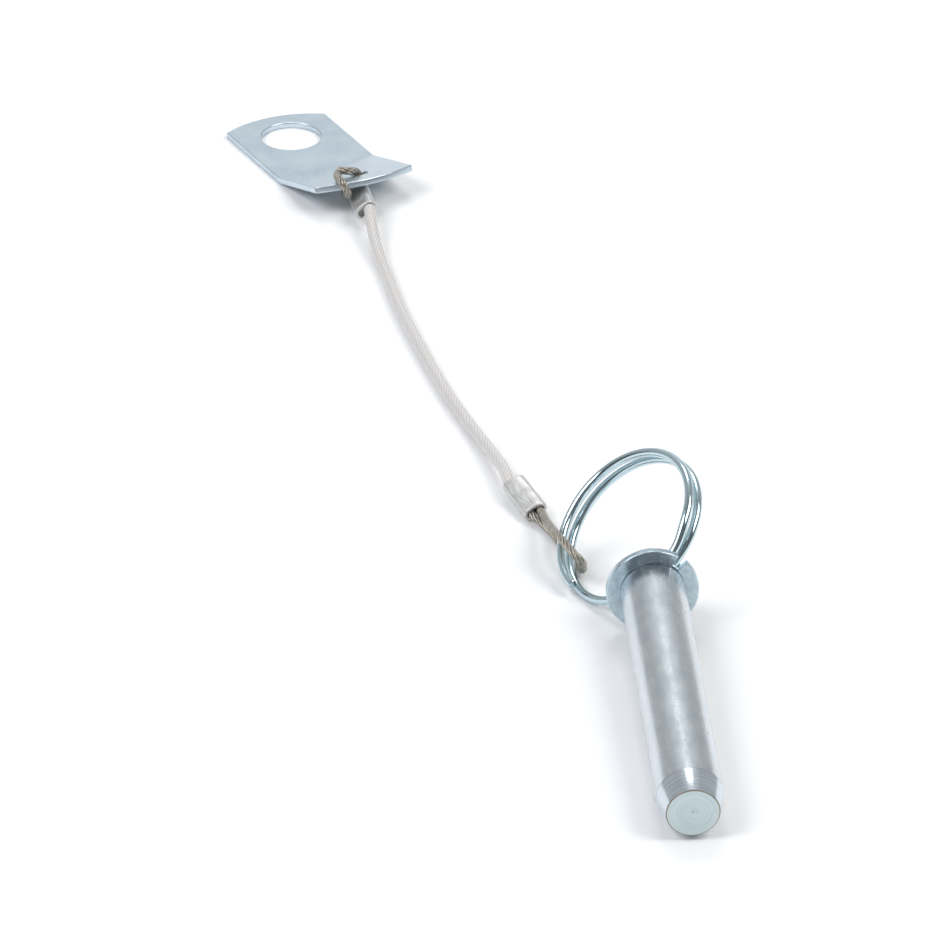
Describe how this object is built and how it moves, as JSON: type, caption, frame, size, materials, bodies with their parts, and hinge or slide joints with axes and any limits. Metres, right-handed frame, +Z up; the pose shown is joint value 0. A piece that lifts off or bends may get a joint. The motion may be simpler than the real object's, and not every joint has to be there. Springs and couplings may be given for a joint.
{
  "type": "hitch pin lock",
  "caption": "Steel locking hitch pin with a collar, a spring ball and a split pull ring, tied by a jacketed wire rope lanyard to a bent anchor tab.",
  "frame": {"origin": "on the pin's axis, in the plane of the collar's front face", "axes": "-Y towards the pin's tip in plan, +Z up from the level surface that everything lies on, +X to the pin's right seen from the tab"},
  "size_m": [0.1045, 0.3799, 0.0322],
  "materials": {
    "zinc_steel": "satin zinc plating over turned bar",
    "zinc_collar": "satin zinc plating",
    "ball_steel": "polished bearing steel",
    "spring_steel": "drawn spring wire",
    "ring_wire": "bright zinc-plated spring wire",
    "rope_wire": "drawn galvanised strands",
    "ferrule_aluminium": "satin, pressed",
    "jacket_plastic": "clear soft plastic over the rope",
    "zinc_tab": "satin zinc-plated strip"
  },
  "bodies": {
    "pin_body": {"pin": "zinc_steel", "detent_spring": "spring_steel"},
    "collar_body": {"collar": "zinc_collar"},
    "ball_body": {"detent_ball": "ball_steel"},
    "ring_body": {"pull_ring": "ring_wire"},
    "ring_end": {"ring_loop": "rope_wire", "ring_ferrule": "ferrule_aluminium", "rope_core": "rope_wire", "rope_jacket": "jacket_plastic"},
    "tab_end": {"tab_ferrule": "ferrule_aluminium", "tab_loop": "rope_wire"},
    "tab_body": {"anchor_tab": "zinc_tab"}
  },
  "joints": [
    {"name": "collar_turn", "type": "hinge", "parent": "pin_body", "child": "collar_body", "pos_m": [0, 0, 0], "axis": [0, 0.9993, 0.0381], "continuous": true},
    {"name": "ball_travel", "type": "slide", "parent": "pin_body", "child": "ball_body", "axis": [0.848, -0.0202, 0.5295], "range_m": [0, 0.0011], "stiffness_N_per_m": 1500, "springref_m": -0.0015, "deforming": ["detent_spring"]},
    {"name": "ring_swing", "type": "hinge", "parent": "pin_body", "child": "ring_body", "pos_m": [0, 0.0055, 0.00021], "axis": [0.7466, -0.0253, 0.6647], "range_deg": [-75, 60]},
    {"name": "lanyard_swivel", "type": "hinge", "parent": "ring_body", "child": "ring_end", "pos_m": [-0.0185, 0.031, -0.0058], "axis": [0, 0, 1], "range_deg": [-5, 25]},
    {"name": "lanyard_flex", "type": "hinge", "parent": "ring_end", "child": "tab_end", "pos_m": [-0.046, 0.145, -0.00959], "axis": [0, 0, 1], "range_deg": [-35, 35], "deforming": ["rope_jacket", "rope_core"]},
    {"name": "tab_swing", "type": "hinge", "parent": "tab_end", "child": "tab_body", "pos_m": [-0.0567, 0.2364, -0.00429], "axis": [-0.1196, 0.2668, 0.9563], "range_deg": [-20, 4]}
  ]
}
